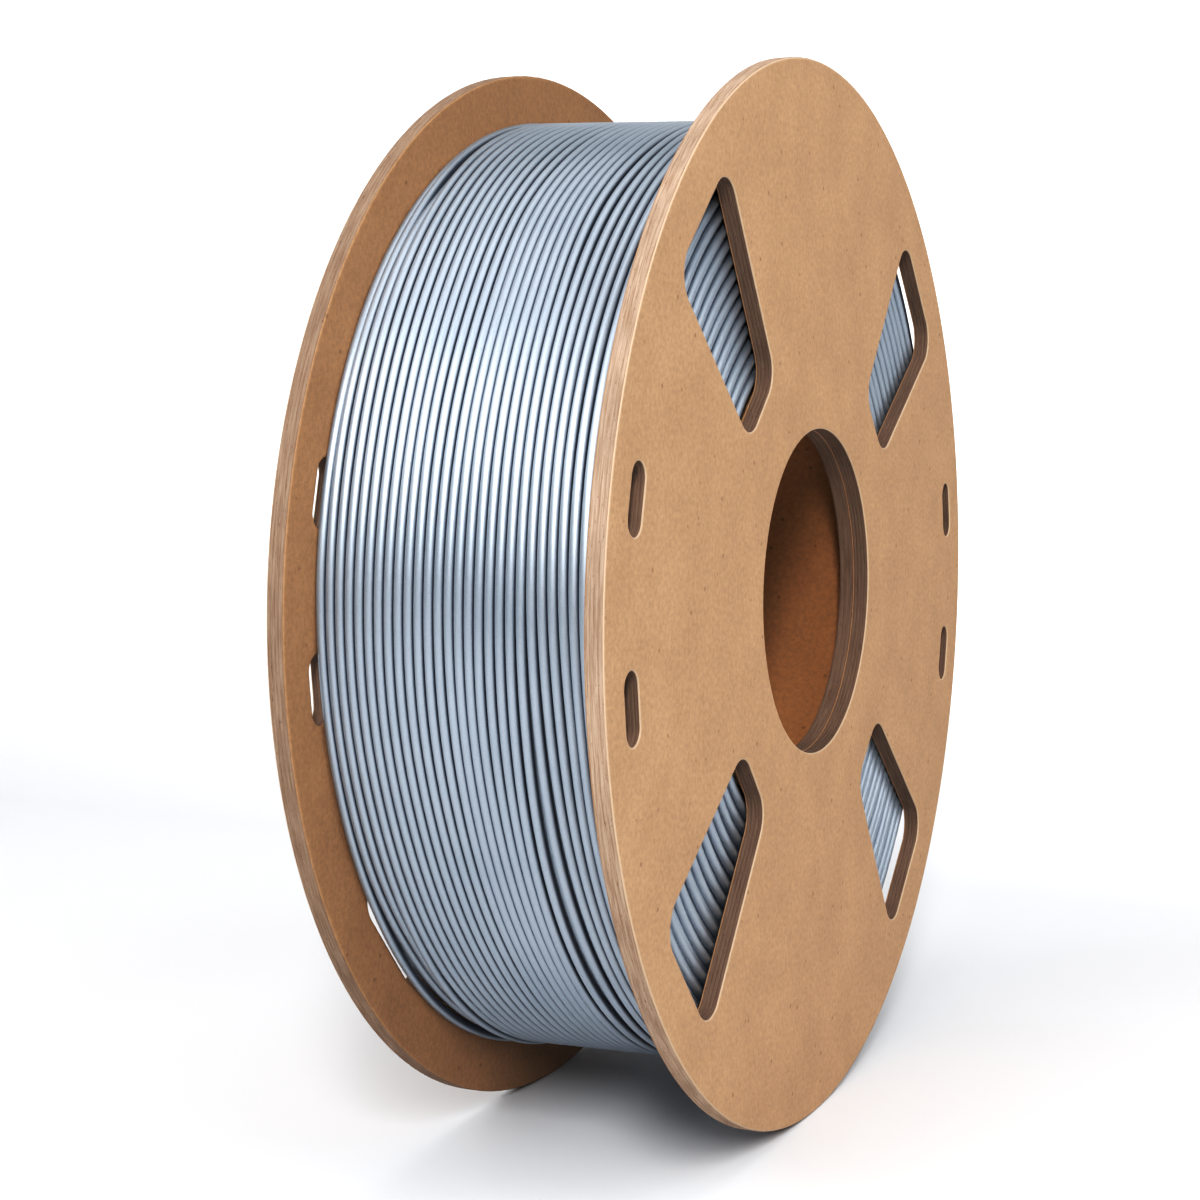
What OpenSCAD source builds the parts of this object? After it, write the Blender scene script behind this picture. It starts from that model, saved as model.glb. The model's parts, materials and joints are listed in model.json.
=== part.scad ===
// Filament spool: two laminated cardboard side discs on a wound paper tube,
// full of round filament. The axis lies along X and the spool stands on its rims.

/* [Side discs] */
// Radius of a side disc
disc_r = 100; // [82:1:130]
// Radius of the spindle hole through both discs
bore_r = 30.8; // [20:0.1:38]
// Thickness of one sheet of grey board; four are pasted into each disc
ply_t = 0.7; // [0.5:0.05:0.9]
// Thickness of the kraft paper on each face of a disc
kraft_t = 0.3; // [0.2:0.05:0.4]
// How far the kraft paper stops short of the pressed rim
kraft_setback = 0.15; // [0.05:0.05:0.4]

/* [Hub and tube] */
// Clear distance between the inner faces of the two discs
inner_gap = 52.8; // [40:0.1:75]
// Thickness of the tube's wound body
tube_body_t = 2.2; // [1.5:0.1:3]
// Thickness of the kraft paper inside and outside the tube
tube_kraft_t = 0.4; // [0.2:0.1:0.6]
// Thickness of the locating disc inside each end of the tube
hub_t = 2.7; // [2:0.1:4]
// How far a locating disc reaches out past the spindle hole
hub_ring_w = 10.1; // [6:0.1:13]
// Glue gap between a locating disc and the inside of the tube
hub_fit = 0.1; // [0.05:0.05:0.3]

/* [Sight windows] */
// Board left between the tube's outside and a window's narrow end
window_foot = 2.5; // [0:0.1:12]
// Board left between a window's wide end and the rim
window_rim = 10.6; // [6:0.1:20]
// Width at the narrow end, before its corners are rounded
window_in_w = 17.3; // [13:0.1:30]
// Width at the wide end, before its corners are rounded
window_out_w = 30.2; // [18:0.1:45]
// Radius of a window's corners
window_corner_r = 5.5; // [2:0.5:6]

/* [End slots] */
// Distance from the rim to the middle of a slot for tucking in the filament's end
slot_rim = 10.3; // [8:0.1:16]
// Length of a slot, along the disc's edge
slot_l = 12; // [9:0.5:18]
// Width of a slot
slot_w = 5.4; // [4.5:0.1:8]
// Angle between the two slots of a pair
slot_pair_angle = 20.8; // [14:0.2:30]
// Turn of all windows and slots about the axis
pattern_turn = -3; // [-10:0.5:10]

/* [Filament] */
// Diameter of the filament
filament_d = 1.75; // [1.75:Standard, 2.85:Thick]
// How far the full winding stays inside the rim
winding_drop = 9.6; // [8:0.1:30]
// Smallest gap between neighbouring turns of a layer
turn_gap = 0.06; // [0.02:0.01:0.2]
// Gap between the winding and each disc
winding_side_gap = 0.1; // [0.05:0.05:0.5]

/* [Hidden] */
$fn = 96;

left = -1;
right = 1;
plies = 4;
window_count = 4;
corner_steps = 6;
crest_steps = 4;
cut_over = 1;
inner_face = inner_gap / 2;
board_t = plies * ply_t;
hub_r = bore_r + hub_ring_w;
tube_bore_r = hub_r + hub_fit;
tube_r = tube_bore_r + tube_body_t + 2 * tube_kraft_t;
window_in_r = tube_r + window_foot;
window_out_r = disc_r - window_rim;
slot_mid_r = disc_r - slot_rim;
filament_r = filament_d / 2;
winding_r = disc_r - winding_drop;
winding_w = inner_gap - 2 * winding_side_gap;
turns = 1 + floor((winding_w - filament_d) / (filament_d + turn_gap));
turn_pitch = (winding_w - filament_d) / (turns - 1);
window_slope = atan((window_out_w - window_in_w) / 2 / (window_out_r - window_in_r));

kraft_colour = [0.79, 0.60, 0.44];
inner_kraft_colour = [0.72, 0.53, 0.37];
board_colour = [0.71, 0.61, 0.51];
filament_colour = [0.55, 0.61, 0.68];

// Turns a shape drawn flat, and its height, so that the height runs along +X
module along_x() {
    rotate([90, 0, 90]) children();
}

// Points on an arc, both ends included
function arc(centre, r, from, to, steps) = [
    for (i = [0 : steps]) centre + r * [cos(from + (to - from) * i / steps), sin(from + (to - from) * i / steps)]
];

// Half width of a window at distance u from the axis, less the corner radius along the side's normal
function window_corner_v(u) =
    window_in_w / 2 + (u - window_in_r) * tan(window_slope) - window_corner_r / cos(window_slope);

// One window's outline, with its radius along the first axis
module window_outline() {
    out_u = window_out_r - window_corner_r;
    in_u = window_in_r + window_corner_r;
    side_angle = 90 + window_slope;
    half = concat(
        arc([out_u, window_corner_v(out_u)], window_corner_r, 0, side_angle, corner_steps),
        arc([in_u, window_corner_v(in_u)], window_corner_r, side_angle, 180, corner_steps)
    );
    last = len(half) - 1;
    polygon(concat(half, [for (i = [last : -1 : 0]) [half[i][0], -half[i][1]]]));
}

// One slot's outline, with its radius along the first axis
module slot_outline() {
    end_r = slot_w / 2;
    end_v = slot_l / 2 - end_r;
    polygon(concat(
        arc([slot_mid_r, end_v], end_r, 0, 180, 2 * corner_steps),
        arc([slot_mid_r, -end_v], end_r, 180, 360, 2 * corner_steps)
    ));
}

// Every cut in a side disc except the spindle hole
module disc_cuts(height) {
    rotate(pattern_turn) {
        for (i = [0 : window_count - 1])
            rotate(360 / window_count * (i + 0.5)) linear_extrude(height) window_outline();
        for (side = [0, 180], half = [-0.5, 0.5])
            rotate(side + half * slot_pair_angle) linear_extrude(height) slot_outline();
    }
}

// One sheet of a side disc, from x = low outwards
module disc_sheet(low, thickness, outer_r) {
    along_x() translate([0, 0, low]) difference() {
        cylinder(h = thickness, r = outer_r);
        translate([0, 0, -cut_over]) cylinder(h = thickness + 2 * cut_over, r = bore_r);
        translate([0, 0, -cut_over]) disc_cuts(thickness + 2 * cut_over);
    }
}

// Near edge of a layer that lies between two distances from the middle, on one side
function low_x(side, near, far) = side > 0 ? near : -far;

// Kraft paper on a disc's outward face
module outer_kraft(side) {
    near = inner_face + kraft_t + board_t;
    color(kraft_colour) disc_sheet(low_x(side, near, near + kraft_t), kraft_t, disc_r - kraft_setback);
}

// Kraft paper on a disc's face towards the filament
module inner_kraft(side) {
    color(inner_kraft_colour)
        disc_sheet(low_x(side, inner_face, inner_face + kraft_t), kraft_t, disc_r - kraft_setback);
}

// One sheet of grey board, counted from the outward face
module board_ply(side, number) {
    near = inner_face + kraft_t + (plies - number) * ply_t;
    color(board_colour) disc_sheet(low_x(side, near, near + ply_t), ply_t, disc_r);
}

// Locating disc glued to a side disc, inside the end of the tube
module hub_disc(side) {
    near = inner_face - hub_t;
    color(board_colour) along_x() translate([0, 0, low_x(side, near, near + hub_t)]) difference() {
        cylinder(h = hub_t, r = hub_r);
        translate([0, 0, -cut_over]) cylinder(h = hub_t + 2 * cut_over, r = bore_r);
    }
}

// One wound layer of the paper tube
module tube_layer(inner_r, outer_r) {
    along_x() translate([0, 0, -inner_face]) difference() {
        cylinder(h = inner_gap, r = outer_r);
        translate([0, 0, -cut_over]) cylinder(h = inner_gap + 2 * cut_over, r = inner_r);
    }
}

module tube_inner_kraft() {
    color(inner_kraft_colour) tube_layer(tube_bore_r, tube_bore_r + tube_kraft_t);
}

module tube_body() {
    color(board_colour) tube_layer(tube_bore_r + tube_kraft_t, tube_r - tube_kraft_t);
}

module tube_outer_kraft() {
    color(kraft_colour) tube_layer(tube_r - tube_kraft_t, tube_r);
}

// The whole winding as one closed ring, with the crest of each outermost turn
module filament_winding() {
    first_x = -(turns - 1) / 2 * turn_pitch;
    crests = [
        for (i = [0 : turns - 1])
            each arc([winding_r - filament_r, first_x + i * turn_pitch], filament_r, -72, 72, crest_steps)
    ];
    outline = concat(
        [[tube_r, -winding_w / 2], [winding_r - filament_r, -winding_w / 2]],
        crests,
        [[winding_r - filament_r, winding_w / 2], [tube_r, winding_w / 2]]
    );
    color(filament_colour) along_x() rotate_extrude() polygon(outline);
}

outer_kraft(left);  // left_outer_kraft
board_ply(left, 1);  // left_ply_1
board_ply(left, 2);  // left_ply_2
board_ply(left, 3);  // left_ply_3
board_ply(left, 4);  // left_ply_4
inner_kraft(left);  // left_inner_kraft
hub_disc(left);  // left_hub_disc
outer_kraft(right);  // right_outer_kraft
board_ply(right, 1);  // right_ply_1
board_ply(right, 2);  // right_ply_2
board_ply(right, 3);  // right_ply_3
board_ply(right, 4);  // right_ply_4
inner_kraft(right);  // right_inner_kraft
hub_disc(right);  // right_hub_disc
tube_inner_kraft();
tube_body();
tube_outer_kraft();
filament_winding();
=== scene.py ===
import json
import math
import bpy
import numpy as np
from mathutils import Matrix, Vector, geometry


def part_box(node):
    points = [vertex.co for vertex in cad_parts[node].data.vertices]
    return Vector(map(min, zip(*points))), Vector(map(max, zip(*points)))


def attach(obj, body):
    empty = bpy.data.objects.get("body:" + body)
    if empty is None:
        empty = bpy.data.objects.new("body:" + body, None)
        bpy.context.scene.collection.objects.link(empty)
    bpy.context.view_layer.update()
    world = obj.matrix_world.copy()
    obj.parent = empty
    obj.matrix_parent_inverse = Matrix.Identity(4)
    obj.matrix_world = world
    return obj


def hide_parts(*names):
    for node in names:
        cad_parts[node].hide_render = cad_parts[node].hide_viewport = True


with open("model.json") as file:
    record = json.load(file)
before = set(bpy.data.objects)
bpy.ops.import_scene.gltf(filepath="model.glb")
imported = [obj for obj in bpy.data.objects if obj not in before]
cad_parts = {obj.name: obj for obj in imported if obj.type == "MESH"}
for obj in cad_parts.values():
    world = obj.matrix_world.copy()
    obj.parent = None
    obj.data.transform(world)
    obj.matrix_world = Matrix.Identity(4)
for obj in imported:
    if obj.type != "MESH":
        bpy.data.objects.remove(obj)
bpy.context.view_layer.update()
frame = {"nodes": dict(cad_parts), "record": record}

mm = 0.001
root = "root"
print("stage: cad frame loaded,", len(frame["nodes"]), "nodes")


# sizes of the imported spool, in millimetres
def nodeSpan(node):
    low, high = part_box(node)
    return np.array(low) / mm, np.array(high) / mm


boreMount = next(m for m in frame["record"]["mounts"] if m["kind"] == "bore")
rimRadius = nodeSpan("right_ply_1")[1][1]
kraftRadius = nodeSpan("right_outer_kraft")[1][1]
boreRadius = boreMount["dims"]["r_mm"]
windingRadius = nodeSpan("filament_winding")[1][1]
windingHalf = nodeSpan("filament_winding")[1][0]
tubeRadius = nodeSpan("tube_outer_kraft")[1][1]


# ---- mesh helpers
def makePiece(name, points, faces, flatFaces, material, nodes, marks=None):
    mesh = bpy.data.meshes.new(name)
    mesh.from_pydata((np.asarray(points) * mm).tolist(), [], faces)
    smooth = np.ones(len(faces), bool)
    if flatFaces:
        smooth[flatFaces[0]:flatFaces[1]] = False
    mesh.polygons.foreach_set("use_smooth", smooth)
    for mark, values in (marks or {}).items():
        mesh.attributes.new(mark, "FLOAT", "POINT").data.foreach_set("value", np.asarray(values, float))
    mesh.materials.append(material)
    mesh.update()
    piece = bpy.data.objects.new(name, mesh)
    bpy.context.scene.collection.objects.link(piece)
    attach(piece, root)
    if nodes:
        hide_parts(*nodes)
    return piece


def ringQuads(rows, count, start=0, flip=False):
    # quads between rows of points, each row running round once
    i = np.arange(count)
    nextI = (i + 1) % count
    quads = []
    for row in range(rows - 1):
        low, high = start + row * count, start + (row + 1) * count
        block = np.stack([low + i, low + nextI, high + nextI, high + i], 1)
        quads.append(block[:, ::-1] if flip else block)
    return np.concatenate(quads).tolist()


def ragged(count, length, coarsest, finest, rng):
    # closed row of noise with waves between two lengths, about 1 high
    waves = np.fft.rfftfreq(count, length / count)
    band = (waves > 1 / coarsest) & (waves < 1 / finest)
    phase = rng.uniform(0, 2 * np.pi, len(waves))
    strength = np.where(band, 1 / np.maximum(waves, 1e-6) ** 0.4, 0)
    row = np.fft.irfft(strength * np.exp(1j * phase), count)
    return row / (row.std() + 1e-12)


# ---- material helpers
def newMaterial(name):
    material = bpy.data.materials.new(name)
    material.use_nodes = True
    tree = material.node_tree
    tree.nodes.clear()
    output = tree.nodes.new("ShaderNodeOutputMaterial")
    shader = tree.nodes.new("ShaderNodeBsdfPrincipled")
    tree.links.new(shader.outputs["BSDF"], output.inputs["Surface"])
    return material, tree, shader


def addNode(tree, kind, values=(), **settings):
    made = tree.nodes.new(kind)
    for key, value in settings.items():
        setattr(made, key, value)
    for key, value in dict(values).items():
        if isinstance(value, bpy.types.NodeSocket):
            tree.links.new(value, made.inputs[key])
        else:
            made.inputs[key].default_value = value
    return made


def stretched(tree, scale, rotation=(0, 0, 0)):
    # object coordinates, in metres, scaled differently along each axis
    place = addNode(tree, "ShaderNodeTexCoord").outputs["Object"]
    values = {"Vector": place, "Scale": scale, "Rotation": rotation}
    return addNode(tree, "ShaderNodeMapping", values).outputs["Vector"]


def noiseAt(tree, vector, scale, detail=3.0, roughness=0.55, distortion=0.0):
    values = {"Vector": vector, "Scale": scale, "Detail": detail}
    values.update({"Roughness": roughness, "Distortion": distortion})
    return addNode(tree, "ShaderNodeTexNoise", values).outputs["Fac"]


def ramp(tree, fac, low, high, outLow=0.0, outHigh=1.0):
    values = {"Value": fac, "From Min": low, "From Max": high, "To Min": outLow, "To Max": outHigh}
    return addNode(tree, "ShaderNodeMapRange", values, clamp=True).outputs["Result"]


def blendColours(tree, fac, first, second, mode="MIX"):
    made = tree.nodes.new("ShaderNodeMix")
    made.data_type = "RGBA"
    made.blend_type = mode
    for socket, value in ((made.inputs[0], fac), (made.inputs[6], first), (made.inputs[7], second)):
        if isinstance(value, bpy.types.NodeSocket):
            tree.links.new(value, socket)
        elif isinstance(value, (int, float)):
            socket.default_value = value
        else:
            socket.default_value = (*value, 1.0)
    return made.outputs[2]


def toned(tree, tone, shade):
    # a shade made evenly lighter or darker
    grey = addNode(tree, "ShaderNodeCombineColor", {0: tone, 1: tone, 2: tone}).outputs[0]
    return blendColours(tree, 1.0, shade, grey, "MULTIPLY")


def mathNode(tree, operation, first, second=0.0):
    made = tree.nodes.new("ShaderNodeMath")
    made.operation = operation
    for socket, value in ((made.inputs[0], first), (made.inputs[1], second)):
        if isinstance(value, bpy.types.NodeSocket):
            tree.links.new(value, socket)
        else:
            socket.default_value = value
    return made.outputs[0]


def addBump(tree, shader, height, strength, distance, under=None):
    values = {"Height": height, "Strength": strength, "Distance": distance}
    if under is not None:
        values["Normal"] = under
    bump = addNode(tree, "ShaderNodeBump", values)
    tree.links.new(bump.outputs["Normal"], shader.inputs["Normal"])
    return bump.outputs["Normal"]


# ---- materials
# the inner colour is a darker copy of the outer kraft: painted shade on the discs' inner faces
# the tube colour is a darker copy of the outer kraft: painted shade inside the tube
kraft = {
    "outer": (0.425, 0.256, 0.145), "inner": (0.300, 0.165, 0.085), "tube": (0.250, 0.113, 0.043),
    "dark": 0.74, "light": 1.20, "cutEdge": (0.50, 0.37, 0.26),
    "fleckSize": 0.9, "patchSize": 14.0, "fibreScale": 1500.0, "crossFibreScale": 1300.0,
    "speckScale": 210.0, "speckShade": 0.5, "roughness": 0.78,
}


def kraftPaper(name, colour, grain=(1.0, 1.0, 1.0)):
    material, tree, shader = newMaterial(name)
    place = stretched(tree, grain)
    fine = noiseAt(tree, place, 1.0 / (kraft["fleckSize"] * mm), 5.0, 0.62, 0.4)
    broad = noiseAt(tree, place, 1.0 / (kraft["patchSize"] * mm), 3.0, 0.6)
    leaning = stretched(tree, (1.0, 0.45, 1.6), (0.6, 0.0, 0.0))
    fibres = noiseAt(tree, leaning, kraft["fibreScale"], 2.0, 0.5, 1.2)
    crossing = stretched(tree, (1.0, 1.7, 0.4), (-0.5, 0.0, 0.0))
    crossFibres = noiseAt(tree, crossing, kraft["crossFibreScale"], 2.0, 0.5, 1.2)
    darker = tuple(c * kraft["dark"] for c in colour)
    lighter = tuple(min(c * kraft["light"], 1.0) for c in colour)
    shade = blendColours(tree, ramp(tree, fine, 0.36, 0.64), darker, lighter)
    shade = blendColours(tree, 0.45, shade, colour)
    shade = blendColours(tree, ramp(tree, fibres, 0.60, 0.72, 0.0, 0.45), shade, lighter)
    shade = blendColours(tree, ramp(tree, crossFibres, 0.62, 0.74, 0.0, 0.5), shade, darker)
    tone = ramp(tree, broad, 0.3, 0.7, 0.93, 1.06)
    shade = toned(tree, tone, shade)
    cells = {"Vector": place, "Scale": kraft["speckScale"], "Randomness": 1.0}
    specks = addNode(tree, "ShaderNodeTexVoronoi", cells)
    speck = ramp(tree, specks.outputs["Distance"], 0.05, 0.11, 0.75, 0.0)
    shade = blendColours(tree, speck, shade, tuple(c * kraft["speckShade"] for c in colour))
    wear = addNode(tree, "ShaderNodeAttribute", attribute_name="edgeWear").outputs["Fac"]
    shade = blendColours(tree, ramp(tree, wear, 0.25, 0.9, 0.0, 0.85), shade, kraft["cutEdge"])
    tree.links.new(shade, shader.inputs["Base Color"])
    low, high = kraft["roughness"] - 0.08, kraft["roughness"] + 0.1
    tree.links.new(ramp(tree, fine, 0.3, 0.7, low, high), shader.inputs["Roughness"])
    shader.inputs["Specular IOR Level"].default_value = 0.28
    under = addBump(tree, shader, fine, 0.35, 0.00012)
    addBump(tree, shader, fibres, 0.25, 0.00006, under)
    return material


# the wall tones are painted shade: the hole walls get a darker copy of the board than the outer rim
board = {
    "wallMid": (0.115, 0.071, 0.049), "wallPale": (0.150, 0.100, 0.070), "wallDark": (0.078, 0.047, 0.031),
    "rimMid": (0.250, 0.162, 0.110), "rimPale": (0.375, 0.273, 0.200), "rimDark": (0.120, 0.070, 0.045),
    "layerSize": 0.30, "runLength": 6.0, "pitSize": 0.32, "pitLength": 0.9, "roughness": 0.88,
}


def greyBoard(name):
    # cut edge of pasted board: fine layers across X, pits and torn fibres along the cut
    material, tree, shader = newMaterial(name)
    across, along = 1.0 / (board["layerSize"] * mm), 1.0 / (board["runLength"] * mm)
    layers = noiseAt(tree, stretched(tree, (across, along, along)), 1.0, 4.0, 0.62)
    across, along = 1.0 / (board["pitSize"] * mm), 1.0 / (board["pitLength"] * mm)
    pits = noiseAt(tree, stretched(tree, (across, along, along)), 1.0, 3.0, 0.6)
    fuzz = noiseAt(tree, stretched(tree, (1.0, 1.0, 1.0)), 2600.0, 3.0, 0.6)
    broad = noiseAt(tree, stretched(tree, (1.0, 1.0, 1.0)), 90.0, 2.0, 0.5)
    # painted shade: the hole walls take the darker wall tones, the outer rim the rim tones
    rim = addNode(tree, "ShaderNodeAttribute", attribute_name="rimCut").outputs["Fac"]
    mid, pale, dark = (blendColours(tree, rim, board["wall" + tone], board["rim" + tone])
                       for tone in ("Mid", "Pale", "Dark"))
    shade = blendColours(tree, ramp(tree, layers, 0.36, 0.64), mid, pale)
    shade = blendColours(tree, ramp(tree, fuzz, 0.62, 0.78, 0.0, 0.6), shade, pale)
    shade = blendColours(tree, ramp(tree, pits, 0.37, 0.27, 0.0, 0.85), shade, dark)
    tone = ramp(tree, broad, 0.3, 0.7, 0.88, 1.08)
    shade = toned(tree, tone, shade)
    tree.links.new(shade, shader.inputs["Base Color"])
    shader.inputs["Roughness"].default_value = board["roughness"]
    shader.inputs["Specular IOR Level"].default_value = 0.2
    under = addBump(tree, shader, layers, 0.5, 0.00012)
    addBump(tree, shader, pits, 0.6, 0.00018, under)
    return material


# the crevice colour is painted shade, laid on the strands' sides where they meet
silk = {
    "colour": (0.370, 0.425, 0.490), "deep": (0.320, 0.375, 0.440), "glint": (0.56, 0.61, 0.67),
    "creviceShade": (0.085, 0.10, 0.13), "metallic": 0.85, "roughness": 0.45, "stretch": 0.55, "grain": 0.16,
}


def silkFilament(name):
    # drawn plastic: its shine is narrow along the strand and wide across it
    material, tree, shader = newMaterial(name)
    place = stretched(tree, (1.0, 1.0, 1.0))
    grain = noiseAt(tree, place, 1.0 / (silk["grain"] * mm), 2.0, 0.6)
    along = noiseAt(tree, place, 60.0, 3.0, 0.5)
    shade = blendColours(tree, ramp(tree, along, 0.3, 0.7), silk["deep"], silk["colour"])
    shade = blendColours(tree, ramp(tree, grain, 0.45, 0.75, 0.0, 0.35), shade, silk["glint"])
    # painted shade: strands darken towards their sides, where they meet their neighbours
    creviceShade = addNode(tree, "ShaderNodeAttribute", attribute_name="creviceShade").outputs["Fac"]
    shade = blendColours(tree, ramp(tree, creviceShade, 0.70, 0.98), shade, silk["creviceShade"])
    tree.links.new(shade, shader.inputs["Base Color"])
    shader.inputs["Metallic"].default_value = silk["metallic"]
    low, high = silk["roughness"] - 0.04, silk["roughness"] + 0.06
    tree.links.new(ramp(tree, grain, 0.3, 0.7, low, high), shader.inputs["Roughness"])
    shader.inputs["Anisotropic"].default_value = silk["stretch"]
    shader.inputs["Anisotropic Rotation"].default_value = 0.25
    tangent = addNode(tree, "ShaderNodeTangent", direction_type="RADIAL", axis="X")
    tree.links.new(tangent.outputs["Tangent"], shader.inputs["Tangent"])
    addBump(tree, shader, grain, 0.12, 0.00003)
    return material


outerKraft = kraftPaper("outerKraft", kraft["outer"])
# painted shade: the discs' inner faces get a darker copy of the kraft
innerKraft = kraftPaper("innerKraft", kraft["inner"])
# painted shade: the inside of the tube gets a darker copy of the kraft
tubeKraftInShade = kraftPaper("tubeKraftInShade", kraft["tube"])
boardEdge = greyBoard("boardEdge")
filament = silkFilament("silkFilament")
print("stage: materials made")

# ---- side discs
sideDisc = {
    "rimPoints": 1256, "borePoints": 420,
    "windowFoot": 2.5, "windowRim": 10.6, "windowNarrow": 17.3, "windowWide": 30.2, "windowCorner": 5.5,
    "slotRim": 10.3, "slotLength": 12.0, "slotWidth": 5.4, "slotPair": 20.8, "patternTurn": -3.0,
    "boardRough": 0.045, "paperRough": 0.03, "wearFrom": 0.45, "innerWear": 0.3,
}
# rows across one sheet: share of its thickness from the inner side, how far back from the cut, raggedness
sheetEdges = {
    "ply": [(0, .40, 0), (0, .09, .3), (.14, .03, .8), (.5, .015, 1), (.86, .03, .8), (1, .09, .3),
            (1, .40, 0)],
    "outerKraft": [(0, .30, 0), (0, .05, .4), (.3, .0, .6), (.62, .05, .5), (.84, .17, .35), (.96, .36, .15),
                   (1, .62, 0), (1, 1.0, 0)],
    "innerKraft": [(0, 1.0, 0), (0, .62, 0), (.04, .36, .15), (.16, .17, .35), (.38, .05, .5), (.7, .0, .6),
                   (1, .05, .4), (1, .30, 0)],
}
rimTone = {1: 1.0, -1: 0.45}  # the left rim is darker, nearer the wall tones
windowPlaces = [45 + 90 * k + sideDisc["patternTurn"] for k in range(4)]
slotPlaces = [side + half * sideDisc["slotPair"] + sideDisc["patternTurn"]
              for side in (0, 180) for half in (-.5, .5)]


def turned(points, degrees):
    c, s = math.cos(math.radians(degrees)), math.sin(math.radians(degrees))
    return points @ np.array([[c, s], [-s, c]])


def circlePath(radius, count):
    angle = np.arange(count) * 2 * np.pi / count
    return np.stack([np.cos(angle), np.sin(angle)], 1) * radius


def arcPath(centre, radius, fromAngle, toAngle, steps):
    angle = np.radians(np.linspace(fromAngle, toAngle, steps + 1))
    return np.array(centre) + radius * np.stack([np.cos(angle), np.sin(angle)], 1)


def between(first, last, steps):
    share = np.linspace(0, 1, steps + 1)[1:-1, None]
    return first + (last - first) * share


def windowPath(place, grow):
    d = sideDisc
    narrowR, wideR = tubeRadius + d["windowFoot"], rimRadius - d["windowRim"]
    slope = math.atan((d["windowWide"] - d["windowNarrow"]) / 2 / (wideR - narrowR))
    corner = d["windowCorner"] + grow

    def cornerAt(u):
        straight = d["windowNarrow"] / 2 + (u - narrowR) * math.tan(slope)
        return (u, straight - d["windowCorner"] / math.cos(slope))
    side = 90 + math.degrees(slope)
    wideArc = arcPath(cornerAt(wideR - d["windowCorner"]), corner, 0, side, 14)
    narrowArc = arcPath(cornerAt(narrowR + d["windowCorner"]), corner, side, 180, 12)
    half = np.concatenate([wideArc, between(wideArc[-1], narrowArc[0], 44), narrowArc])
    other = half[::-1] * np.array([1, -1])
    loop = np.concatenate([half, between(half[-1], other[0], 8), other, between(other[-1], half[0], 24)])
    return turned(loop, place)


def slotPath(place, grow):
    d = sideDisc
    end = d["slotWidth"] / 2
    reach = d["slotLength"] / 2 - end
    middle = rimRadius - d["slotRim"]
    first = arcPath((middle, reach), end + grow, 0, 180, 20)
    second = arcPath((middle, -reach), end + grow, 180, 360, 20)
    firstSide = between(first[-1], second[0], 8)
    secondSide = between(second[-1], first[0], 8)
    return turned(np.concatenate([first, firstSide, second, secondSide]), place)


def discOutlines(radius):
    # each outline gives its points for a distance back from the cut, and which side its board is on
    outlines = [(lambda back: circlePath(radius - back, sideDisc["rimPoints"]), True)]
    outlines.append((lambda back: circlePath(boreRadius + back, sideDisc["borePoints"]), False))
    outlines += [(lambda back, p=p: windowPath(p, back), False) for p in windowPlaces]
    outlines += [(lambda back, p=p: slotPath(p, back), False) for p in slotPlaces]
    return outlines


def fillTriangles(loops):
    # triangles over the flat board between the rim and the holes
    points, edges, start = [], [], 0
    for loop in loops:
        count = len(loop)
        points += [Vector(p) for p in loop.tolist()]
        edges += [(start + i, start + (i + 1) % count) for i in range(count)]
        start += count
    made = geometry.delaunay_2d_cdt(points, edges, [], 1, 1e-5)
    corners, triangles, origin = made[0], made[2], made[3]
    index = [o[0] if o else -1 for o in origin]
    kept = []
    for triangle in triangles:
        centre = sum((corners[v] for v in triangle), Vector((0, 0))) / len(triangle)
        if not insideHoles(centre, loops[1:]):
            kept.append([index[v] for v in triangle])
    assert all(v >= 0 for t in kept for v in t), "a corner was made that no outline has"
    return kept


def insideHoles(point, holes):
    x, y = point
    for hole in holes:
        low, high = hole.min(0), hole.max(0)
        if not (low[0] < x < high[0] and low[1] < y < high[1]):
            continue
        a, b = hole, np.roll(hole, -1, 0)
        crosses = (a[:, 1] > y) != (b[:, 1] > y)
        at = (b[:, 0] - a[:, 0]) * (y - a[:, 1]) / np.where(crosses, b[:, 1] - a[:, 1], 1) + a[:, 0]
        if np.count_nonzero(crosses & (x < at)) % 2:
            return True
    return False


def makeSheet(name, node, outlines, edge, rough, material, side, seed, fill, wearShare=1.0):
    low, high = nodeSpan(node)
    near, far = (low[0], high[0]) if side > 0 else (high[0], low[0])
    rng = np.random.default_rng(seed)
    points, faces, wear, rimCut, offset = [], [], [], [], 0
    ends = [[], []]
    for path, boardInside in outlines:
        cut = path(0.0)
        away = cut - path(1.0)
        away /= np.linalg.norm(away, axis=1)[:, None]
        count = len(cut)
        length = np.linalg.norm(np.roll(cut, -1, 0) - cut, axis=1).sum()
        shared = ragged(count, length, 30, 3, rng)
        for share, back, raggedness in edge:
            own = ragged(count, length, 4, 0.9, rng)
            bite = np.abs(0.5 * shared + own) * rough * raggedness
            flat = path(back) - away * bite[:, None]
            x = np.full(count, near + (far - near) * share)
            points.append(np.column_stack([x, flat]))
            wear.append(np.full(count, wearShare * max(0.0, 1 - back / sideDisc["wearFrom"])))
            rimCut.append(np.full(count, rimTone[side] if boardInside else 0.0))
        rows = len(edge)
        faces += ringQuads(rows, count, offset, flip=(boardInside != (side > 0)))
        ends[0] += list(range(offset, offset + count))
        ends[1] += list(range(offset + (rows - 1) * count, offset + rows * count))
        offset += rows * count
    flatFrom = len(faces)
    for end, flip in ((ends[0], side > 0), (ends[1], side < 0)):
        for triangle in fill:
            corner = [end[v] for v in triangle]
            faces.append(corner[::-1] if flip else corner)
    marks = {"edgeWear": np.concatenate(wear), "rimCut": np.concatenate(rimCut)}
    return makePiece(name, np.concatenate(points), faces, (flatFrom, len(faces)), material, [node], marks)


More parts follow.
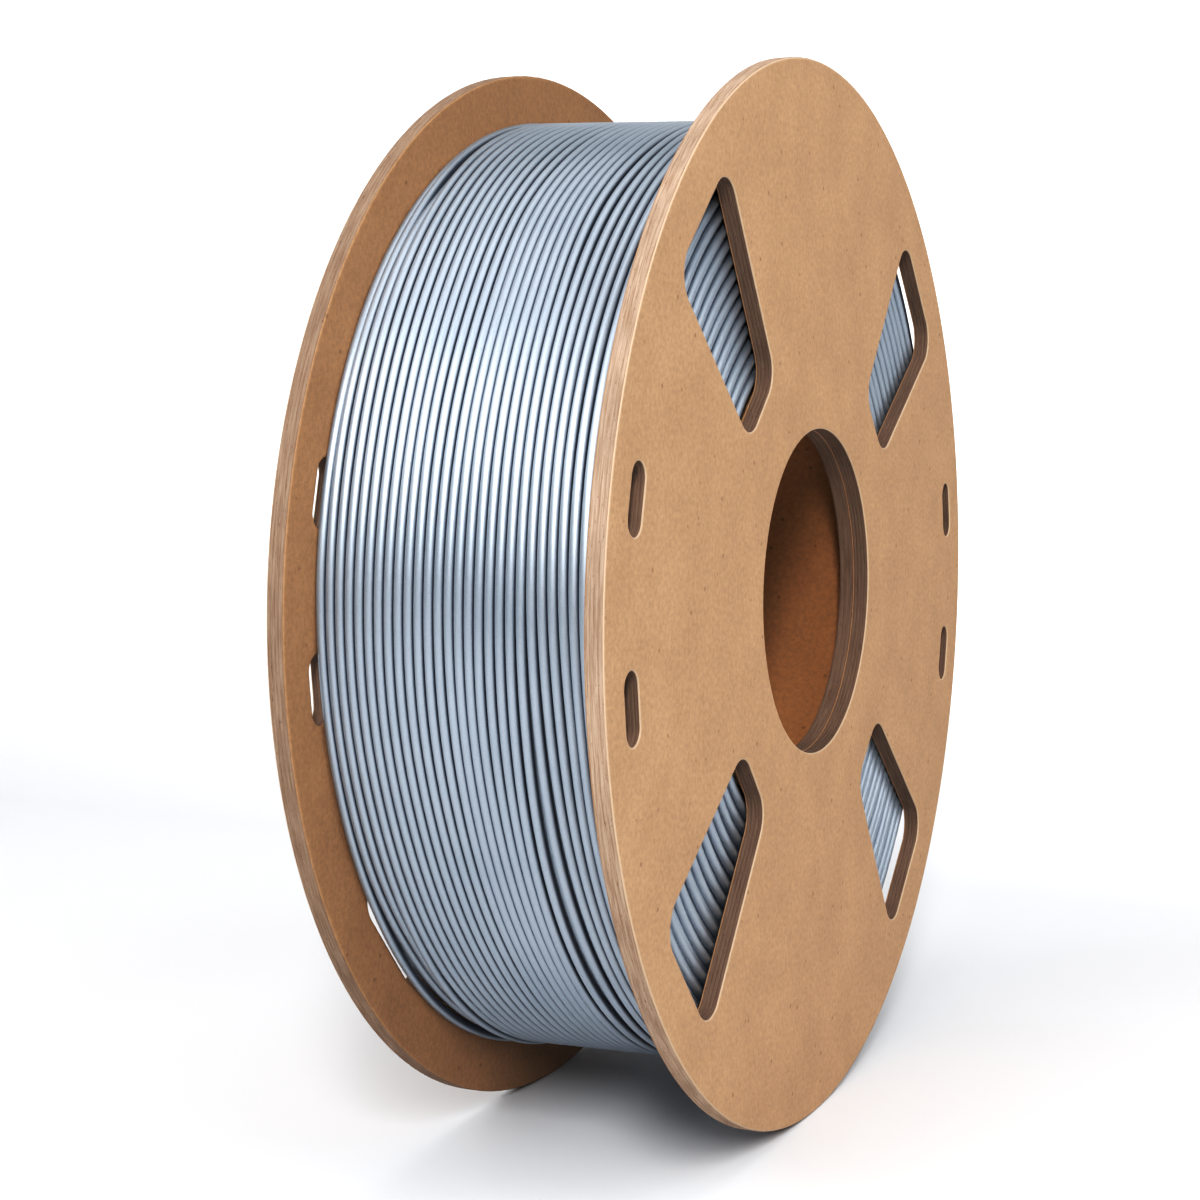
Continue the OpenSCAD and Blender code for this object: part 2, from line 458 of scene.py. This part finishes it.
fill = fillTriangles([path(0.6) for path, _ in discOutlines(rimRadius)])
for sideName, side in (("left", -1), ("right", 1)):
    outlines = discOutlines(rimRadius)
    paperOutlines = discOutlines(kraftRadius)
    for number in range(1, 5):
        piece = makeSheet(f"{sideName}Ply{number}", f"{sideName}_ply_{number}", outlines, sheetEdges["ply"],
                          sideDisc["boardRough"], boardEdge, side, 10 * number + side, fill)
    piece = makeSheet(f"{sideName}OuterKraft", f"{sideName}_outer_kraft", paperOutlines,
                      sheetEdges["outerKraft"], sideDisc["paperRough"], outerKraft, side, 71 + side, fill)
    piece = makeSheet(f"{sideName}InnerKraft", f"{sideName}_inner_kraft", paperOutlines,
                      sheetEdges["innerKraft"], sideDisc["paperRough"], innerKraft, side, 81 + side, fill,
                      sideDisc["innerWear"])
print("stage: side discs made")

# ---- hub discs
hubDisc = {"points": 480, "plies": 3, "groove": 0.07, "rough": 0.04}


def hubEdge():
    rows = [(0, .5, 0), (0, .08, .4)]
    for ply in range(hubDisc["plies"]):
        base = ply / hubDisc["plies"]
        step = 1 / hubDisc["plies"]
        rows += [(base + step * .15, .02, 1), (base + step * .5, 0, 1), (base + step * .85, .02, 1)]
        if ply < hubDisc["plies"] - 1:
            rows.append((base + step, hubDisc["groove"], .5))
    return rows + [(1, .08, .4), (1, .5, 0)]


for sideName, side in (("left", -1), ("right", 1)):
    hubRadius = nodeSpan(f"{sideName}_hub_disc")[1][1]
    hubRadius = math.ceil(hubRadius * 10 - 0.01) / 10  # facets fall a little short of the true circle
    outlines = [(lambda back: circlePath(hubRadius - back, hubDisc["points"]), True),
                (lambda back: circlePath(boreRadius + back, hubDisc["points"]), False)]
    count = hubDisc["points"]
    ring = [[i, (i + 1) % count, count + (i + 1) % count, count + i] for i in range(count)]
    piece = makeSheet(f"{sideName}HubDisc", f"{sideName}_hub_disc", outlines, hubEdge(), hubDisc["rough"],
                      boardEdge, side, 91 + side, ring)
print("stage: hub discs made")

# ---- paper tube
tube = {"points": 360, "rows": 40, "waviness": 0.05}


def makeTubeLayer(name, node, material, seed):
    low, high = nodeSpan(node)
    mesh = frame["nodes"][node].data
    reach = [math.hypot(v.co.y, v.co.z) / mm for v in mesh.vertices]
    inner, outer = min(reach), max(reach)
    rng = np.random.default_rng(seed)
    wave = ragged(tube["points"], 2 * np.pi * inner, 60, 8, rng) * tube["waviness"] * 0.3
    xs = np.linspace(low[0], high[0], tube["rows"])
    profile = [(x, inner) for x in xs] + [(x, outer) for x in xs[::-1]]
    angle = np.arange(tube["points"]) * 2 * np.pi / tube["points"]
    points = []
    for x, radius in profile:
        r = radius + (np.abs(wave) if radius == inner else 0)
        points.append(np.column_stack([np.full_like(angle, x), r * np.cos(angle), r * np.sin(angle)]))
    points = np.concatenate(points)
    rows, count = len(profile), tube["points"]
    faces = ringQuads(rows, count, flip=True)
    i = np.arange(count)
    last = (rows - 1) * count
    faces += np.stack([i, last + i, last + (i + 1) % count, (i + 1) % count], 1)[:, ::-1].tolist()
    return makePiece(name, points, faces, None, material, [node])


for name, node, material, slot in (
        ("tubeInnerKraft", "tube_inner_kraft", tubeKraftInShade, "inner_kraft_paper"),
        ("tubeBody", "tube_body", boardEdge, "grey_board"),
        ("tubeOuterKraft", "tube_outer_kraft", outerKraft, "outer_kraft_paper")):
    makeTubeLayer(name, node, material, 5)
print("stage: paper tube made")

# ---- filament
winding = {
    "diameter": 1.75, "turns": 29, "layerStep": 1.5, "ringStep": 2.0, "sides": 14,
    "measuredAt": 175.0, "firstTurn": -25.5, "pitch": 1.815, "wallGap": -0.08, "startAt": -60.0,
    "secondSides": 10, "secondStep": 3.0, "secondWander": 0.8,
    "endSides": 12, "endStep": 3.0, "endRipple": 0.12,
}
# sideways wander of a turn from an even helix, in mm
# at angles round the axis: 90 top, 180 front, 270 bottom
wanderAngles = (60, 85, 100, 115, 130, 145, 160, 175, 190, 205, 220, 240, 265, 300)
wander = {
    0: (0, -.3, -.6, -.8, -.3, -.4, -.3, 0, .3, .4, .4, .4, .3, 0),
    3: (0, -1.2, -2.0, -2.2, -1.5, -.7, -.1, 0, .15, .6, .8, .8, .4, 0),
    7: (0, -1.0, -1.6, -1.7, -1.2, -.4, 0, 0, .05, .6, .8, .8, .4, 0),
    10: (0, -.7, -1.1, -1.3, -1.2, -.4, -.2, 0, .05, .6, .8, .8, .4, 0),
    13: (0, -.1, -.2, -.4, -.9, -.2, -.1, 0, .2, .6, .8, .8, .4, 0),
    16: (0, .2, .1, -.3, -1.2, -.7, -.4, 0, -.1, .1, .2, .3, .2, 0),
    19: (0, .1, 0, -.6, -1.5, -1.0, -.5, 0, .05, -.3, -.6, -.6, -.3, 0),
    20.4: (0, .1, 0, -.5, -1.4, -1.0, -.6, 0, .3, 0, -.1, -.1, 0, 0),
    21.4: (0, .3, .4, .2, -.8, -.9, -.6, 0, .8, 1.2, 1.5, 1.5, .8, 0),
    24: (0, .3, .4, .1, -.4, -.8, -.7, 0, 1.0, 1.1, 1.2, 1.2, .6, 0),
    28: (0, .1, .1, 0, -.2, -.4, -.3, 0, .2, .2, .2, .2, .1, 0),
}
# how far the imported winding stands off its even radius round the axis, in mm
bulgeAngles = (-60, 0, 45, 75, 100, 125, 145, 175, 205, 225, 250, 270, 300)
bulge = (-0.2, 0.2, 0.5, -0.3, -0.6, -0.1, 0.2, 0.3, 0.0, -0.4, -1.1, -1.2, -0.2)
# how much higher its left end stands, and its right end lower
lean = (0.0, 0.0, 0.0, 0.7, 1.0, 0.9, 0.9, 0.3, 0.1, 0.2, 0.6, 0.5, 0.0)
# where single turns drop below or stand above their layer: turn, from, to, height, fade
steps = [(2.0, 40, 136, -1.1, 14), (1.0, 205, 330, -0.9, 22), (2.0, 205, 330, -0.9, 22),
         (0.0, 215, 300, 0.5, 20), (3.0, 215, 300, 0.5, 20), (27.0, 60, 118, -0.7, 18)]


def smoothStep(x):
    x = np.clip(x, 0, 1)
    return x * x * (3 - 2 * x)


def curveThrough(xs, ys, x):
    # smooth curve through points, flat outside them
    xs, ys = np.asarray(xs, float), np.asarray(ys, float)
    slope = np.gradient(ys, xs)
    k = np.clip(np.searchsorted(xs, x) - 1, 0, len(xs) - 2)
    h = xs[k + 1] - xs[k]
    t = np.clip((x - xs[k]) / h, 0, 1)
    a, b = 2 * t**3 - 3 * t**2 + 1, t**3 - 2 * t**2 + t
    c, d = -2 * t**3 + 3 * t**2, t**3 - t**2
    return a * ys[k] + b * h * slope[k] + c * ys[k + 1] + d * h * slope[k + 1]


def stackHeight(x, angle):
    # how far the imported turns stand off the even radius
    around = (angle + 60) % 360 - 60
    tilt = curveThrough(bulgeAngles, lean, around) * x / windingHalf
    return curveThrough(bulgeAngles, bulge, around) - tilt


def turnWander(turn, angle):
    # turn and angle are rows of the same length
    keys = sorted(wander)
    curves = np.stack([curveThrough(wanderAngles, wander[k], angle) for k in keys])
    position = np.clip(np.interp(turn, keys, np.arange(len(keys))), 0, len(keys) - 1.001)
    low = position.astype(int)
    share = position - low
    column = np.arange(len(angle))
    return curves[low, column] * (1 - share) + curves[low + 1, column] * share


def tubeAlong(x, radius, angleDegrees, thickness, sides, capped=True):
    # a round strand wound about the X axis
    angle = np.radians(angleDegrees)
    spin = np.arange(sides) * 2 * np.pi / sides
    x = np.asarray(x)[:, None] + thickness / 2 * np.sin(spin)[None, :]
    r = np.asarray(radius)[:, None] + thickness / 2 * np.cos(spin)[None, :]
    points = np.stack([x, r * np.cos(angle)[:, None], r * np.sin(angle)[:, None]], 2).reshape(-1, 3)
    rings = len(angle)
    faces = ringQuads(rings, sides)
    if capped:
        faces.append(list(range(sides))[::-1])
        faces.append(list(range((rings - 1) * sides, rings * sides)))
    return points, faces


def creviceShadeMark(count, sides):
    # 0 on a strand's crown, 1 where it meets its neighbours; it places painted shade between strands
    spin = (np.arange(count) % sides) * 2 * np.pi / sides
    return np.where(np.cos(spin) > 0.01, np.abs(np.sin(spin)), 1.0)


def wallLimit(x):
    room = windingHalf - winding["diameter"] / 2 - winding["wallGap"]
    return np.clip(x, -room, room)


def strandAngles(turns, step):
    # angle along the whole strand, the turn each point is on, and its angle within that turn
    start = winding["startAt"]
    total = np.arange(start, 360.0 * turns + start + 1e-6, step)
    turn = np.floor((total - start) / 360)
    return total, turn, total - 360 * turn


def evenHelix(turn, angle):
    return winding["firstTurn"] + winding["pitch"] * (turn + (angle - winding["measuredAt"]) / 360)


def makeOuterLayer():
    w = winding
    total, turn, angle = strandAngles(w["turns"], w["ringStep"])
    x = evenHelix(turn, angle) + turnWander(turn, angle)
    radius = windingRadius - w["diameter"] / 2 + stackHeight(x, angle)
    for which, start, stop, height, fade in steps:
        bump = smoothStep((angle - start) / fade) * (1 - smoothStep((angle - stop + fade) / fade))
        radius += np.where(turn == which, bump * height, 0)
    points, faces = tubeAlong(wallLimit(x), radius, total, w["diameter"], w["sides"])
    return makePiece("filamentOuterLayer", points, faces, None, filament, ["filament_winding"],
                     {"creviceShade": creviceShadeMark(len(points), w["sides"])})


def makeSecondLayer():
    w = winding
    total, turn, angle = strandAngles(w["turns"] - 1, w["secondStep"])
    x = evenHelix(turn + 0.5, angle) + w["secondWander"] * turnWander(turn, angle)
    radius = windingRadius - w["diameter"] / 2 - w["layerStep"] + stackHeight(x, angle)
    points, faces = tubeAlong(wallLimit(x), radius, total, w["diameter"], w["secondSides"])
    return makePiece("filamentSecondLayer", points, faces, None, filament, ["filament_winding"],
                     {"creviceShade": creviceShadeMark(len(points), w["secondSides"])})


def makeSideTurns(name, side):
    # the end turn of each buried layer, as the sight windows show it
    w = winding
    rng = np.random.default_rng(40 + side)
    sides, ripple = w["endSides"], w["endRipple"]
    angle = np.arange(0, 360, w["endStep"])
    count = len(angle)
    points, faces, offset = [], [], 0
    layer = 1
    while True:
        middle = windingRadius - w["diameter"] / 2 - layer * w["layerStep"]
        if middle - w["diameter"] / 2 < tubeRadius:
            break
        depth = (middle - tubeRadius) / (windingRadius - tubeRadius)  # deep layers lie rounder
        inset = w["pitch"] / 2 if layer % 2 else 0.0
        sunk = ripple * np.abs(ragged(count, 2 * np.pi * middle, 400, 60, rng))
        x = windingHalf - w["diameter"] / 2 - inset - sunk
        radius = middle + ripple * ragged(count, 2 * np.pi * middle, 500, 60, rng)
        radius += np.minimum(depth * stackHeight(side * x, angle), 0)
        p, f = tubeAlong(side * x, radius, angle, w["diameter"], sides, capped=False)
        i = np.arange(sides)
        last = (count - 1) * sides
        closing = np.stack([last + i, last + (i + 1) % sides, (i + 1) % sides, i], 1).tolist()
        faces += [[v + offset for v in face] for face in f + closing]
        points.append(p)
        offset += len(p)
        layer += 1
    return makePiece(name, np.concatenate(points), faces, None, filament, ["filament_winding"])


def makeBuriedTurns():
    # closed body behind the modelled turns
    w = winding
    outer = windingRadius - w["diameter"] / 2 - 2 * w["layerStep"] + 0.4 + min(bulge)
    half = windingHalf - w["diameter"]
    profile = [(-half, tubeRadius), (-half, outer), (half, outer), (half, tubeRadius)]
    count = 240
    angle = np.arange(count) * 2 * np.pi / count
    points = np.concatenate([np.column_stack([np.full_like(angle, x), r * np.cos(angle), r * np.sin(angle)])
                             for x, r in profile])
    faces = ringQuads(4, count)
    i = np.arange(count)
    faces += np.stack([3 * count + i, 3 * count + (i + 1) % count, (i + 1) % count, i], 1).tolist()
    return makePiece("filamentBuriedTurns", points, faces, None, filament, ["filament_winding"])


for piece in (makeOuterLayer(), makeSecondLayer(), makeSideTurns("filamentRightEndTurns", 1),
              makeSideTurns("filamentLeftEndTurns", -1), makeBuriedTurns()):
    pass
print("stage: filament wound")

# ---- studio
studio = {
    "lens": 66.1, "place": (164.7, -398.6, 35.2), "view": (-0.4164, 0.9083, -0.0405),
    "shift": (0.00715, -0.0876),
    "floorSize": 3.0, "floor": (0.69, 0.695, 0.71), "floorPatch": (0.65, 0.65, 0.67),
    "backdropAt": 1.1, "backdropHeight": 1.6, "backdropBend": 0.5,
    "surroundings": 0.03, "behind": 1.0, "backdropGlow": 0.65,
    "contrast": ((0.10, 0.055), (0.22, 0.165), (0.45, 0.42)),
}
# each light: where it stands, what it points at, width and height in metres, power in watts
lights = {
    "keyBox": ((-0.42, -0.80, 0.80), (0, 0, 0), (1.5, 0.75), 13.5),
    "frontBox": ((0.38, -0.92, 0.52), (0, 0, 0), (0.12, 0.44), 12.0),
    "rightBox": ((0.95, -0.15, 0.85), (0, 0, 0), (0.9, 0.9), 8.5),
    "topBox": ((0.0, -0.10, 1.3), (0, 0, 0), (1.0, 1.0), 7.0),
    "backdropBox": ((0.0, 0.45, 1.0), (0, 1.1, 0.1), (2.4, 0.5), 4.0),
}


def makeCamera():
    data = bpy.data.cameras.new("studioCamera")
    camera = bpy.data.objects.new("studioCamera", data)
    bpy.context.scene.collection.objects.link(camera)
    data.sensor_width = 36.0
    data.lens = studio["lens"]
    data.shift_x, data.shift_y = studio["shift"]
    data.clip_start, data.clip_end = 0.01, 20.0
    camera.location = Vector(studio["place"]) * mm
    camera.rotation_mode = "QUATERNION"
    camera.rotation_quaternion = Vector(studio["view"]).to_track_quat("-Z", "Y")
    bpy.context.scene.camera = camera


def makeFloor():
    material, tree, shader = newMaterial("studioFloor")
    tone = ramp(tree, noiseAt(tree, stretched(tree, (1.0, 1.0, 1.0)), 3.0), 0.3, 0.7, 0.9, 1.0)
    shade = blendColours(tree, tone, studio["floorPatch"], studio["floor"])
    tree.links.new(shade, shader.inputs["Base Color"])
    shader.inputs["Roughness"].default_value = 0.7
    shader.inputs["Specular IOR Level"].default_value = 0.2
    depth = addNode(tree, "ShaderNodeSeparateXYZ", {"Vector": stretched(tree, (1.0, 1.0, 1.0))}).outputs["Y"]
    # white towards the back of the floor and up the backdrop, to the camera only
    glow = ramp(tree, depth, 0.2, 0.7, 0.0, studio["backdropGlow"])
    seen = addNode(tree, "ShaderNodeLightPath").outputs["Is Camera Ray"]
    tree.links.new(mathNode(tree, "MULTIPLY", glow, seen), shader.inputs["Emission Strength"])
    shader.inputs["Emission Color"].default_value = (1.0, 1.0, 1.0, 1.0)
    mesh = bpy.data.meshes.new("studioFloor")
    half, level = studio["floorSize"], -rimRadius * mm
    back, bend = studio["backdropAt"], studio["backdropBend"]
    profile = [(-half, level), (back - bend, level)]
    profile += [(back - bend + bend * math.sin(a), level + bend - bend * math.cos(a))
                for a in np.linspace(0, math.pi / 2, 16)[1:]]
    profile.append((back, studio["backdropHeight"]))
    points = [(x, y, z) for y, z in profile for x in (-half, half)]
    faces = [(2 * i, 2 * i + 1, 2 * i + 3, 2 * i + 2) for i in range(len(profile) - 1)]
    mesh.from_pydata(points, [], faces)
    mesh.materials.append(material)
    floor = bpy.data.objects.new("studioFloor", mesh)
    bpy.context.scene.collection.objects.link(floor)


def makeLight(name, place, aim, size, power):
    data = bpy.data.lights.new(name, "AREA")
    data.shape = "RECTANGLE"
    data.size, data.size_y = size
    data.energy = power
    light = bpy.data.objects.new(name, data)
    bpy.context.scene.collection.objects.link(light)
    light.location = place
    light.rotation_mode = "QUATERNION"
    light.rotation_quaternion = (Vector(aim) - Vector(place)).to_track_quat("-Z", "Y")


def makeWorld():
    world = bpy.data.worlds.new("studioWorld")
    world.use_nodes = True
    tree = world.node_tree
    rays = tree.nodes.new("ShaderNodeLightPath")
    seen = ramp(tree, rays.outputs["Is Camera Ray"], 0.0, 1.0, studio["surroundings"], studio["behind"])
    tree.links.new(seen, tree.nodes["Background"].inputs["Strength"])
    tree.nodes["Background"].inputs["Color"].default_value = (1.0, 1.0, 1.0, 1.0)
    bpy.context.scene.world = world


makeCamera()
makeFloor()
makeWorld()
for lightName, settings in lights.items():
    makeLight(lightName, *settings)
view = bpy.context.scene.view_settings
view.view_transform = "Standard"
view.use_curve_mapping = True
for place in studio["contrast"]:
    view.curve_mapping.curves[3].points.new(*place)  # makes the dark tones darker
view.curve_mapping.update()
print("stage: studio made")
